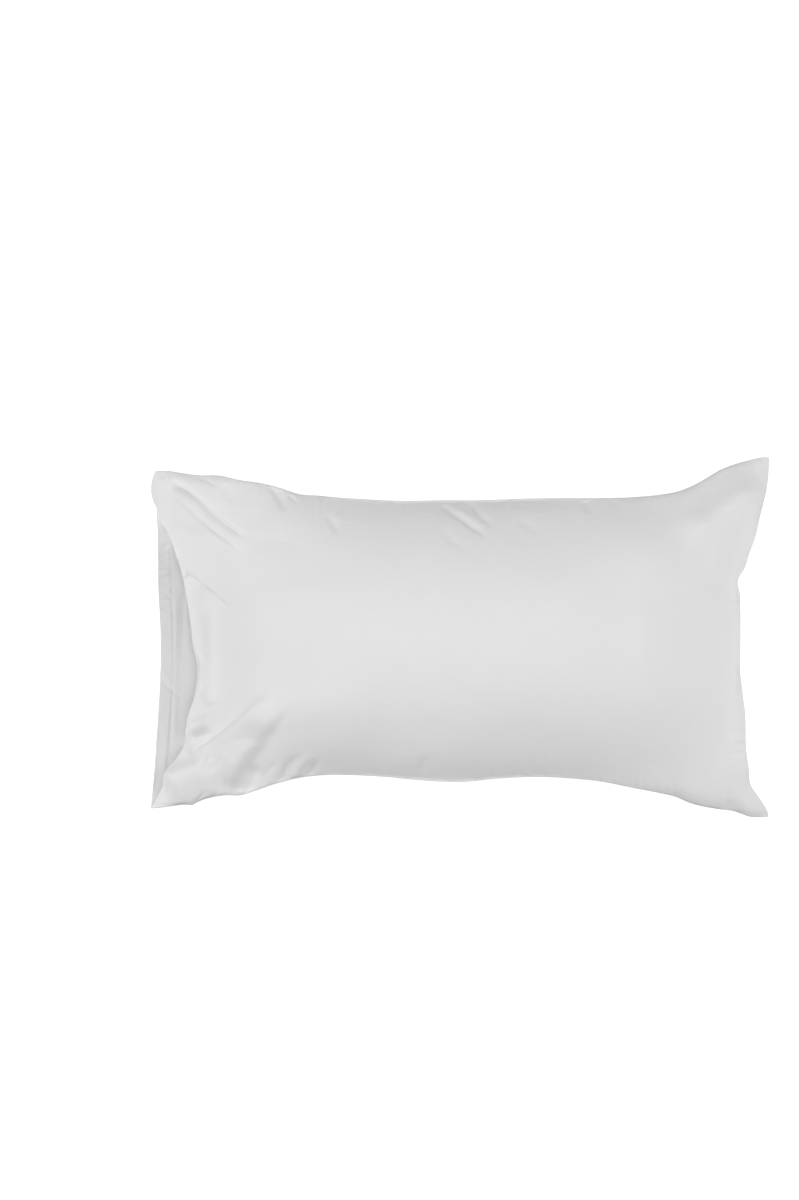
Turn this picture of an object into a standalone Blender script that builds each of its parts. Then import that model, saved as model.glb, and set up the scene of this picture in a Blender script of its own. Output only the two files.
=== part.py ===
"""A housewife pillowcase drawn over its pillow, lying on its back with its face up.

+X runs from the open mouth to the closed end, +Y from the near side seam to the far one, and
+Z up through the crown. The surface it lies on is z = 0. Two cut pieces make the case:

* front_panel: the face cloth with its turned-in mouth edge. With what it is drawn over it is
  one filled solid, with a crown, drawn-in sides, flat corner ears and its main folds.
* back_panel: a thin cloth sheet under the whole filled solid, seam to seam, which runs on
  past the front's turned edge to its own stitched hem.
"""

from collections import namedtuple

import bpy
import bmesh
import numpy as np

MM = 0.001

# Driving sizes, in metres.
CLOTH = 0.0015  # one panel's thickness
HEM_THICKNESS = 0.0027  # the back panel's doubled-over mouth edge
HEM_WIDTH = 0.016
SEAM_GAP = 0.0004  # clearance between the two panels
CROWN = 0.095  # how far the face swells above its seams
TURNED_EDGE = 0.002  # thickness of the front's turned-in edge
MOUTH_DEPTH = 0.16  # share of the length over which the turned edge comes down to the back

# How full the pillow is across its plan: 1 in the middle, 0 at the seams.
LENGTH_POWER = 5.0
WIDTH_POWER = 1.8
CROWN_POWER = 0.85
CORNER_SOFTENING = 0.8
EDGE_POWER = 14
REST_FULLNESS = 0.45  # fuller than this, the back lies flat on the surface
BELLY_POWER = 1.8
END_REACH = 0.25  # share of the length over which an end seam's height is felt
MOUTH_SLACK = 0.34  # share of the length over which the back's slack mouth lies low
SLACK_START = 0.06  # share of the length over which that slack begins
CORNER_REACH = 0.12  # share of the length over which a corner's own height is felt
HEM_CURL = 1.9  # how soon the hem's upward curl dies away across the mouth strip
CLOSE_SHARE = 1.6  # where the mouth strip is narrow, all of it is as high as its hem
CLOSE_REACH = 25.0  # millimetres of width over which that stops
SWELL_END_POWER = 10
SWELL_SIDE_POWER = 6

# Grid of the panels: rows from the near seam to the far one, columns along the length.
ROWS = 26
MOUTH_COLUMNS = 17
BODY_COLUMNS = 21
MOUTH_SHARE = 0.27  # share of the length that the finer mouth columns cover
STRIP_COLUMNS = 4  # hem edge, hem's inner edge, the step off it, and half way to the front
MOUTH_CROWDING = 1.15
END_CROWDING = 0.5
SEAM_CROWDING = 0.55
HEM_MOST_SHARE = 0.7  # near the corners the hem narrows with the strip that shows
STEP_MOST_SHARE = 0.8

FOLD_EASE = 0.45  # how much shallower a fold is at its ends
SHARP_ANGLE = 0.9  # radians: a cloth edge sharper than this isn't shaded smooth

# Each edge of the case as laid, in millimetres: plan position and height of the cloth there.
EdgePoint = namedtuple("EdgePoint", "x y height")

NEAR_SEAM = [
    EdgePoint(-429, -238, 3),
    EdgePoint(-385, -233, 16),
    EdgePoint(-357, -224, 26),
    EdgePoint(-305, -217, 42),
    EdgePoint(-249, -201, 60),
    EdgePoint(-180, -189, 74),
    EdgePoint(-83, -193, 81),
    EdgePoint(7, -200, 83),
    EdgePoint(111, -192, 82),
    EdgePoint(194, -199, 76),
    EdgePoint(277, -217, 58),
    EdgePoint(332, -231, 38),
    EdgePoint(374, -240, 24),
    EdgePoint(429, -249, 14),
]
FAR_SEAM = [
    EdgePoint(-424, 230, 3),
    EdgePoint(-385, 228, 15),
    EdgePoint(-333, 218, 36),
    EdgePoint(-277, 214, 52),
    EdgePoint(-222, 197, 66),
    EdgePoint(-139, 192, 77),
    EdgePoint(-28, 190, 82),
    EdgePoint(83, 192, 83),
    EdgePoint(194, 193, 81),
    EdgePoint(277, 197, 73),
    EdgePoint(319, 208, 60),
    EdgePoint(360, 232, 42),
    EdgePoint(402, 246, 30),
    EdgePoint(429, 249, 26),
]
END_SEAM = [
    EdgePoint(429, -249, 14),
    EdgePoint(413, -217, 30),
    EdgePoint(403, -204, 38),
    EdgePoint(401, -180, 50),
    EdgePoint(395, -120, 66),
    EdgePoint(388, -50, 74),
    EdgePoint(388, 20, 76),
    EdgePoint(384, 82, 70),
    EdgePoint(400, 116, 60),
    EdgePoint(414, 160, 48),
    EdgePoint(427, 212, 34),
    EdgePoint(429, 249, 26),
]
HEM_EDGE = [
    EdgePoint(-429, -238, 3),
    EdgePoint(-426, -195, 3.8),
    EdgePoint(-422, -146, 5),
    EdgePoint(-418, -98, 6),
    EdgePoint(-416, -30, 6.5),
    EdgePoint(-416, 0, 6.8),
    EdgePoint(-419, 65, 8),
    EdgePoint(-421, 148, 6),
    EdgePoint(-427, 195, 4),
    EdgePoint(-424, 230, 3),
]
TURNED_MOUTH_EDGE = [
    EdgePoint(-423, -237.4, 7.6),
    EdgePoint(-411, -208, 7.6),
    EdgePoint(-396, -174, 8),
    EdgePoint(-382, -149, 8.6),
    EdgePoint(-379, -122, 9.8),
    EdgePoint(-368, -84, 10.8),
    EdgePoint(-363, -42, 11),
    EdgePoint(-368, -17, 11),
    EdgePoint(-378, 55, 10.8),
    EdgePoint(-391, 108, 10),
    EdgePoint(-406, 148, 9),
    EdgePoint(-418, 182, 8.2),
    EdgePoint(-421, 205, 7.8),
    EdgePoint(-419, 229.8, 7.6),
]

# The face's main folds, in millimetres: a soft trough from one end to the other.
Fold = namedtuple("Fold", "x0 y0 x1 y1 width depth")

FOLDS = [
    Fold(-403, 216, -291, 126, 10, 6),  # long pull from the far mouth corner
    Fold(-382, 166, -294, 104, 9, 3),
    Fold(-384, 90, -303, 33, 10, 4),
    Fold(-262, 203, -246, 178, 9, 5),  # pucker at the far seam
    Fold(-29, 182, 47, 130, 10, 4),  # pair of pulls at the middle of the far seam
    Fold(335, 178, 352, 152, 16, 9),  # dimple at the root of the far ear
    Fold(-378, -130, -342, -121, 10, 6),  # pocket beside the turned edge
    Fold(-366, -156, -251, -70, 10, 6),  # long pull from the near mouth corner
    Fold(-348, -192, -234, -103, 12, 9),
    Fold(-318, -206, -296, -180, 14, 6),
    Fold(-235, -182, -207, -158, 9, 5),  # pucker at the near seam
]


# Where the pillow swells the face more or less than its crown does, in millimetres.
Swell = namedtuple("Swell", "x y x_reach y_reach height")

SWELLS = [
    Swell(263, 135, 70, 45, 10),  # full corner beside the far ear
    Swell(319, -204, 45, 25, 5),  # full corner beside the near ear
    Swell(346, -4, 45, 70, -8),  # soft middle of the closed end
    Swell(-305, 24, 45, 70, -8),  # soft middle of the mouth end
    Swell(-319, -73, 40, 40, 8),
    Swell(-340, -177, 40, 28, 7),  # roll out of the near mouth corner
    Swell(-305, -186, 45, 25, -5),  # hollow beside that roll
    Swell(-222, -107, 70, 45, 9),
    Swell(166, 142, 80, 40, -8),
    Swell(-111, 142, 90, 40, -4),
    Swell(0, -135, 130, 40, -3),
    Swell(-335, -15, 22, 75, -30),  # the case lies slack between its mouth and the pillow's end
]


def clear_scene():
    """Start from an empty scene."""
    for old in list(bpy.data.objects):
        bpy.data.objects.remove(old)


def fabric(name, colour):
    """Matt cotton: pale, rough and not metallic."""
    material = bpy.data.materials.new(name)
    material.use_nodes = True
    shader = material.node_tree.nodes["Principled BSDF"]
    shader.inputs["Base Color"].default_value = (*colour, 1.0)
    shader.inputs["Roughness"].default_value = 0.85
    shader.inputs["Metallic"].default_value = 0.0
    return material


def smooth_edge(points, shares):
    """Points of a smooth curve through the table's rows, at shares of its longest plan side."""
    rows = np.array(points, float) * MM
    span = rows[-1, :2] - rows[0, :2]
    along = rows[:, int(abs(span[1]) > abs(span[0]))]
    at = along[0] + shares * (along[-1] - along[0])
    slopes = np.gradient(rows, along, axis=0)
    cell = np.clip(np.searchsorted(along, at) - 1, 0, len(along) - 2)
    step = (along[cell + 1] - along[cell])[:, None]
    t = ((at - along[cell]) / step[:, 0])[:, None]
    start = rows[cell] * (1 + 2 * t) * (1 - t) ** 2 + slopes[cell] * step * t * (1 - t) ** 2
    end = rows[cell + 1] * t**2 * (3 - 2 * t) + slopes[cell + 1] * step * t**2 * (t - 1)
    return start + end


def column_shares():
    """Column places along the length, finer beside the mouth and towards the closed end."""
    mouth = np.linspace(0, 1, MOUTH_COLUMNS + 1)[:-1] ** MOUTH_CROWDING * MOUTH_SHARE
    even = np.linspace(0, 1, BODY_COLUMNS + 1)
    crowded = np.sin(0.5 * np.pi * even)
    body = (1 - END_CROWDING) * even + END_CROWDING * crowded
    return np.concatenate([mouth, MOUTH_SHARE + (1 - MOUTH_SHARE) * body])


def row_shares():
    """Row places across the width, closer together beside the seams."""
    even = np.linspace(0, 1, ROWS + 1)
    crowded = 0.5 - 0.5 * np.cos(np.pi * even)
    return (1 - SEAM_CROWDING) * even + SEAM_CROWDING * crowded


def patch(near, far, mouth, end, u, v, reach=None):
    """A smooth surface inside four edges; `reach` limits how far the end edges are felt."""
    to_end = u if reach is None else np.clip(1 - (1 - u) / reach, 0, 1) ** 2
    to_mouth = 1 - u if reach is None else np.clip(1 - u / reach, 0, 1) ** 2
    to_end, to_mouth = to_end[None, :, None], to_mouth[None, :, None]
    across = v[:, None, None]
    sides = near[None] * (1 - across) + far[None] * across
    mouth_extra = mouth - (near[0] * (1 - across[:, 0]) + far[0] * across[:, 0])
    end_extra = end - (near[-1] * (1 - across[:, 0]) + far[-1] * across[:, 0])
    return sides + to_mouth * mouth_extra[:, None] + to_end * end_extra[:, None]


def case_patch(mouth_points, u, v):
    """Plan places and seam heights of a panel that starts at the given mouth edge."""
    mouth = smooth_edge(mouth_points, v)
    end = smooth_edge(END_SEAM, v)
    near, far = seam_from(NEAR_SEAM, mouth[0], u), seam_from(FAR_SEAM, mouth[-1], u)
    plan = patch(near, far, mouth, end, u, v)
    heights = patch(near, far, mouth, end, u, v, reach=END_REACH)
    return np.concatenate([plan[..., :2], heights[..., 2:]], axis=2)


def seam_from(points, start, u):
    """A side seam's points from the place where the mouth edge meets it to the closed end."""
    first, last = points[0].x * MM, points[-1].x * MM
    offset = (start[0] - first) / (last - first)
    curve = smooth_edge(points, offset + u * (1 - offset))
    return curve + (start - curve[0]) * np.clip(1 - u / CORNER_REACH, 0, 1)[:, None] ** 2


def fullness(u, v):
    """How full the pillow is at each place: it fades softly in the corners, and firmly at the seams."""
    along = np.abs(2 * u - 1)[None, :]
    across = np.abs(2 * v - 1)[:, None]
    left = 1 - along**LENGTH_POWER - across**WIDTH_POWER
    blur = CORNER_SOFTENING * (along * across) ** 2
    soft = 0.5 * (left + np.sqrt(left**2 + blur**2))
    return soft * (1 - along**EDGE_POWER) * (1 - across**EDGE_POWER)


def fold_depth(x, y):
    """How deep the folds are at each place of the face."""
    depth = np.zeros_like(x)
    for fold in FOLDS:
        start = np.array([fold.x0, fold.y0]) * MM
        run = np.array([fold.x1, fold.y1]) * MM - start
        length = np.hypot(*run)
        t = ((x - start[0]) * run[0] + (y - start[1]) * run[1]) / length**2
        off = ((x - start[0]) * run[1] - (y - start[1]) * run[0]) / length
        beyond = np.maximum(np.abs(t - 0.5) - 0.5, 0) * length
        reach = (off**2 + beyond**2) / (fold.width * MM) ** 2
        ease = 1 - FOLD_EASE + FOLD_EASE * np.cos(np.pi * np.clip(t - 0.5, -1, 1))
        depth += fold.depth * MM * np.exp(-0.5 * reach) * ease
    return depth


def swell_height(x, y, u, v):
    """How much higher the face stands for its swells, fading at every seam."""
    height = np.zeros_like(x)
    for swell in SWELLS:
        along = (x / MM - swell.x) / swell.x_reach
        across = (y / MM - swell.y) / swell.y_reach
        height += swell.height * MM * np.exp(-0.5 * (along**2 + across**2))
    end_fade = 1 - np.abs(2 * u - 1)[None, :] ** SWELL_END_POWER
    return height * end_fade * (1 - np.abs(2 * v - 1)[:, None] ** SWELL_SIDE_POWER)


def grid_normals(grid):
    """Unit normals of a grid of points, rows by columns."""
    across, along = np.gradient(grid, axis=0), np.gradient(grid, axis=1)
    normals = np.cross(along, across)
    return normals / np.linalg.norm(normals, axis=2, keepdims=True)


def back_mouth_line():
    """Where the back passes under the front's turned edge: low, but up to the hem at the corners."""
    hem = np.array(HEM_EDGE, float)
    line = []
    for row in TURNED_MOUTH_EDGE:
        width = row.x - np.interp(row.y, hem[:, 1], hem[:, 0])
        share = np.clip(CLOSE_SHARE - width / CLOSE_REACH, 0, 1)
        line.append(row._replace(height=share * np.interp(row.y, hem[:, 1], hem[:, 2])))
    return line


def back_faces(u, v):
    """Lower and upper points of the back panel: its mouth strip, then the part under the pillow."""
    under = case_patch(back_mouth_line(), u, v)
    opened = np.clip(u / SLACK_START, 0, 1) * np.clip(1 - u / MOUTH_SLACK, 0, 1)
    slack = opened[None, :] * (1 - (2 * v - 1) ** 2)[:, None]
    belly = np.clip(1 - fullness(u, v) / REST_FULLNESS, 0, 1) ** BELLY_POWER
    under[..., 2] = np.maximum(under[..., 2], 0) * belly * (1 - slack)
    hem = smooth_edge(HEM_EDGE, v)
    strip_width = np.linalg.norm(under[:, 0, :2] - hem[:, :2], axis=1)[:, None]
    hem_share = np.minimum(HEM_WIDTH / strip_width, HEM_MOST_SHARE)
    step_share = np.minimum((HEM_WIDTH + CLOTH) / strip_width, STEP_MOST_SHARE)
    half_share = 0.5 * (1 + step_share)
    shares = np.concatenate([0 * hem_share, hem_share, step_share, half_share], axis=1)[..., None]
    strip = hem[:, None] * (1 - shares) + under[:, :1] * shares
    rise = hem[:, None, 2] - under[:, :1, 2]
    strip[..., 2] = np.maximum(under[:, :1, 2] + rise * (1 - shares[..., 0]) ** HEM_CURL, 0)
    lower = np.concatenate([strip, under], axis=1)
    thickness = np.full(lower.shape[:2], CLOTH)
    thickness[:, :2] = HEM_THICKNESS
    return lower, lower + grid_normals(lower) * thickness[..., None]


def front_faces(back_lower, u, v):
    """Lower and upper points of the filled front: on the back panel below, crowned above."""
    under = back_lower[:, STRIP_COLUMNS:]
    lower = under + grid_normals(back_lower)[:, STRIP_COLUMNS:] * (CLOTH + SEAM_GAP)
    upper = case_patch(TURNED_MOUTH_EDGE, u, v)
    rim = CLOTH + SEAM_GAP + CLOTH
    inside = np.clip(u / END_REACH, 0, 1)[None, :]
    upper[..., 2] += rim * inside + CROWN * fullness(u, v) ** CROWN_POWER
    upper[..., 2] += swell_height(upper[..., 0], upper[..., 1], u, v)
    upper[..., 2] -= fold_depth(upper[..., 0], upper[..., 1])
    opened = np.clip(1 - u / MOUTH_DEPTH, 0, 1)[None, :] ** 2
    raised = upper[:, :1, 2] - TURNED_EDGE - lower[:, :1, 2]
    lower[..., 2] += opened * np.maximum(raised, 0)
    upper[..., 2] = np.maximum(upper[..., 2], lower[..., 2] + CLOTH)
    return lower, upper


def panel(name, lower, upper, material):
    """One closed cloth body between a lower and an upper grid of points."""
    rows, columns = lower.shape[:2]
    shape = bmesh.new()
    layers = [[[shape.verts.new(p) for p in row] for row in grid] for grid in (lower, upper)]
    for row in range(rows - 1):
        for col in range(columns - 1):
            along, across = (row, col + 1), (row + 1, col)
            below = [(row, col), across, (row + 1, col + 1), along]
            above = [(row, col), along, (row + 1, col + 1), across]
            for layer, corners in zip(layers, (below, above)):
                shape.faces.new([layer[r][c] for r, c in corners])
    rim = [(0, col) for col in range(columns)]
    rim += [(row, columns - 1) for row in range(1, rows)]
    rim += [(rows - 1, col) for col in range(columns - 2, -1, -1)]
    rim += [(row, 0) for row in range(rows - 2, 0, -1)]
    for (r0, c0), (r1, c1) in zip(rim, rim[1:] + rim[:1]):
        below = [layers[0][r0][c0], layers[0][r1][c1]]
        above = [layers[1][r1][c1], layers[1][r0][c0]]
        shape.faces.new(below + above)
    mesh = bpy.data.meshes.new(name)
    shape.to_mesh(mesh)
    shape.free()
    mesh.shade_smooth()
    mesh.set_sharp_from_angle(angle=SHARP_ANGLE)
    mesh.materials.append(material)
    body = bpy.data.objects.new(name, mesh)
    bpy.context.scene.collection.objects.link(body)
    return body


def main():
    clear_scene()
    u, v = column_shares(), row_shares()
    back_lower, back_upper = back_faces(u, v)
    front_lower, front_upper = front_faces(back_lower, u, v)
    panel("back_panel", back_lower, back_upper, fabric("back_cotton", (0.77, 0.77, 0.78)))
    panel("front_panel", front_lower, front_upper, fabric("front_cotton", (0.78, 0.78, 0.79)))


main()
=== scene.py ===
"""A housewife pillowcase drawn over its pillow, in plain white cotton, lying face up.

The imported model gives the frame: +X runs from the open mouth to the closed end, +Y from the near
side seam to the far one, +Z up through the crown. Three pieces are made round it:

* face_cloth: the face with its turned-in mouth edge, drawn over the pillow, as one padded body.
* back_cloth: the back panel, seam to seam, running on past the turned edge to its own hem.
* hem_stitches: the two lines of thread that hold that hem.
"""

import logging
from collections.abc import Callable
from dataclasses import dataclass
from enum import Enum

import bmesh
import bpy
import numpy as np
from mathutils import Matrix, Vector


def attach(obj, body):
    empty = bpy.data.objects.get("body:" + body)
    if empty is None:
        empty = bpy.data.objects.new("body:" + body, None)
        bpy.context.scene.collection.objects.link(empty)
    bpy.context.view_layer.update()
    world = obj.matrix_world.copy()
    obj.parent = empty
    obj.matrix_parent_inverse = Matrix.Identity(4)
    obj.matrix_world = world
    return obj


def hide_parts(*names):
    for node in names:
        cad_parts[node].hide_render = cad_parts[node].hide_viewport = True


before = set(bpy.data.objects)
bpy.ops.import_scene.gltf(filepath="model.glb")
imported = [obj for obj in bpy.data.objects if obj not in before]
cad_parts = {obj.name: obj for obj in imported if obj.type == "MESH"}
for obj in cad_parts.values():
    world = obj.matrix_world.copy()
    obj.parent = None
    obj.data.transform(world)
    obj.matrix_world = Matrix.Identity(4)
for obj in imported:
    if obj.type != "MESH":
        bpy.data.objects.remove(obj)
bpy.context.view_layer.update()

EdgeTable = tuple[tuple[float, ...], ...]
PlanPath = tuple[tuple[float, float], ...]
Triple = tuple[float, float, float]
Inputs = dict[str | int, object]
Density = Callable[[np.ndarray], np.ndarray]

MM = 0.001
TINY = 1e-9
BODY = "root"
UV_MAP = "cloth_metres"
CORNER_REACH = 0.12  # the share of a side seam that bends to reach a mouth edge's own corner
CREASE_REACH = 3  # how many widths from its path a crease is still worked out
SHARP_REACH = 2.2  # how many widths from its path a sharp crease has run out
SHARP_POWER = 1.5
WAVE_STRETCHES = (0.62, 0.83, 1.0, 1.37, 1.9)  # the waves that add up to an uneven one
WAVE_SCALE = 2.2
log = logging.getLogger("pillowcase")


# ------------------------------------------------------------------ edges, as laid, in millimetres
# Each row is one point of an edge: its place across the plan and the cloth's height there.
NEAR_SEAM = (
    (-428.9, -237.7, 3), (-404.4, -234.9, 10), (-379.5, -232.1, 17.8), (-371.2, -232.8, 20.6),
    (-362.9, -228, 23.6), (-346.2, -222.4, 29.4), (-325.5, -219, 36.1), (-304.7, -219, 42.1),
    (-283.9, -212.7, 48.8), (-263.1, -205.1, 55.5), (-242.4, -198.9, 61.3), (-221.6, -194, 65.6),
    (-180.1, -189.9, 74), (-138.5, -190.6, 77), (-97, -193.3, 80), (-55.4, -197.5, 81.6),
    (6.9, -199.6, 83), (48.5, -195.4, 82.6), (110.8, -192.7, 82), (152.3, -194.7, 79),
    (193.9, -198.9, 76), (235.4, -207.2, 67), (277, -215.5, 58), (297.8, -220.4, 50.4),
    (318.6, -229.4, 42.9), (360.1, -238.4, 28.6), (380.9, -241.1, 22.8), (401.6, -248.7, 19),
    (428.7, -249.4, 14.1),
)
FAR_SEAM = (
    (-422.4, 230.5, 3), (-401.6, 230.5, 9.5), (-385, 227.7, 15), (-360.1, 224.9, 25),
    (-332.4, 224.2, 36.2), (-304.7, 218, 44.1), (-277, 213.8, 52), (-249.3, 206.9, 59.1),
    (-221.6, 197.9, 66.1), (-193.9, 195.8, 69.7), (-166.2, 193.1, 73.4), (-138.5, 191.3, 77),
    (-83.1, 188.9, 79.5), (-27.7, 189.6, 82), (27.7, 189.6, 82.5), (83.1, 191.7, 83),
    (138.5, 192.4, 82), (193.9, 192.4, 81), (249.3, 194.5, 75.7), (277, 197.2, 73),
    (304.7, 202.8, 64.4), (332.4, 215.2, 54.1), (346.2, 223.5, 48), (360.1, 231.8, 42),
    (373.9, 237.4, 38), (387.8, 242.2, 34.1), (401.6, 245.7, 30.1), (415.5, 249.2, 28),
    (428.7, 249.9, 26.1),
)
END_SEAM = (
    (428.7, -249.4, 14), (425.9, -239.1, 19), (419, -228, 24.5), (411.3, -216.9, 30.1),
    (403.7, -205.8, 36.9), (400.3, -183.7, 48.2), (396.1, -150.4, 57.9), (394.7, -106.1, 67.6),
    (390.6, -72.9, 71.4), (387.8, -50.7, 73.9), (387.8, -6.4, 75.2), (387.8, 37.9, 74.3),
    (387.1, 60.1, 72.1), (385, 80.9, 70.1), (392.6, 93.3, 66.7), (400.3, 115.5, 60.1),
    (408.6, 137.7, 54.1), (414.1, 159.8, 48), (419.7, 182, 42.1), (425.2, 204.1, 36.1),
    (428, 226.3, 30.9), (428.7, 249.9, 26),
)
HEM_EDGE = (
    (-428.9, -237.7, 3), (-428.2, -229.4, 3), (-425.2, -194.7, 3.8), (-421.6, -146.3, 5),
    (-418.3, -99.2, 6), (-416.2, -59, 6.4), (-415.5, -38.2, 6.5), (-415.5, -3.6, 6.8),
    (-416.9, 31, 8.4), (-419, 65.6, 9.4), (-419.7, 120, 9), (-420, 154.3, 7.6), (-421, 179.2, 5.4),
    (-424.5, 201.4, 3.7), (-422.4, 230.5, 3),
)
TURNED_EDGE = (
    (-428.9, -237.7, 7.2), (-414.1, -211.4, 7.4), (-398.9, -179.5, 7.8), (-389.2, -162.9, 8),
    (-382.3, -149, 8), (-381, -136, 8.6), (-379, -122.7, 10.4), (-375, -104.7, 11.6),
    (-368.4, -85.3, 11.6), (-364.3, -64.5, 11.6), (-362.9, -42.4, 11.6), (-368.4, -17.5, 11.6),
    (-373.2, 22.7, 11.4), (-379, 57.3, 11), (-383.6, 82.3, 10.4), (-390.6, 107.2, 9.6),
    (-398.9, 129.4, 8.8), (-405.8, 147.4, 8.2), (-415.5, 161.2, 7.8), (-422.4, 182, 7.6),
    (-425.9, 190.3, 7.5), (-428.5, 201.4, 7.4), (-427.1, 218, 7.3), (-422.4, 230.5, 7.2),
)


class Profile(Enum):
    """How a crease runs out to either side."""

    SOFT = "soft"
    SHARP = "sharp"
    ROLL = "roll"


@dataclass(frozen=True)
class Crease:
    """One fold of the cloth, in millimetres; a negative depth is a ridge.

    The lean is how many times wider it is on the left of its path than on the right, and the
    growth is how many times wider it is at its end than at its start.
    """

    path: PlanPath
    width: float
    depth: float
    profile: Profile = Profile.SOFT
    start: float = 0.3
    end: float = 0.3
    lean: float = 1.0
    grow: float = 1.0


def hem_pucker(path: PlanPath, width: float, depth: float) -> Crease:
    """A short sharp pucker across the hem."""
    return Crease(path, width, depth, Profile.SHARP, start=0.1, end=0.1)


@dataclass(frozen=True)
class Swell:
    """A place where the pillow fills the face more or less than its crown does, in millimetres."""

    x: float
    y: float
    x_reach: float
    y_reach: float
    height: float


FACE_SWELLS = (
    Swell(263, 135, 70, 45, 10),
    Swell(319, -204, 45, 25, 5),
    Swell(346, -4, 45, 70, -8),
    Swell(-305, 24, 45, 70, -8),
    Swell(-319, -73, 40, 40, 8),
    Swell(-340, -177, 40, 28, 7),
    Swell(-305, -186, 45, 25, -5),
    Swell(-222, -107, 70, 45, 9),
    Swell(166, 142, 80, 40, -8),
    Swell(-111, 142, 90, 40, -4),
    Swell(0, -135, 130, 40, -3),
    Swell(-335, -15, 22, 75, -30),
)


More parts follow.
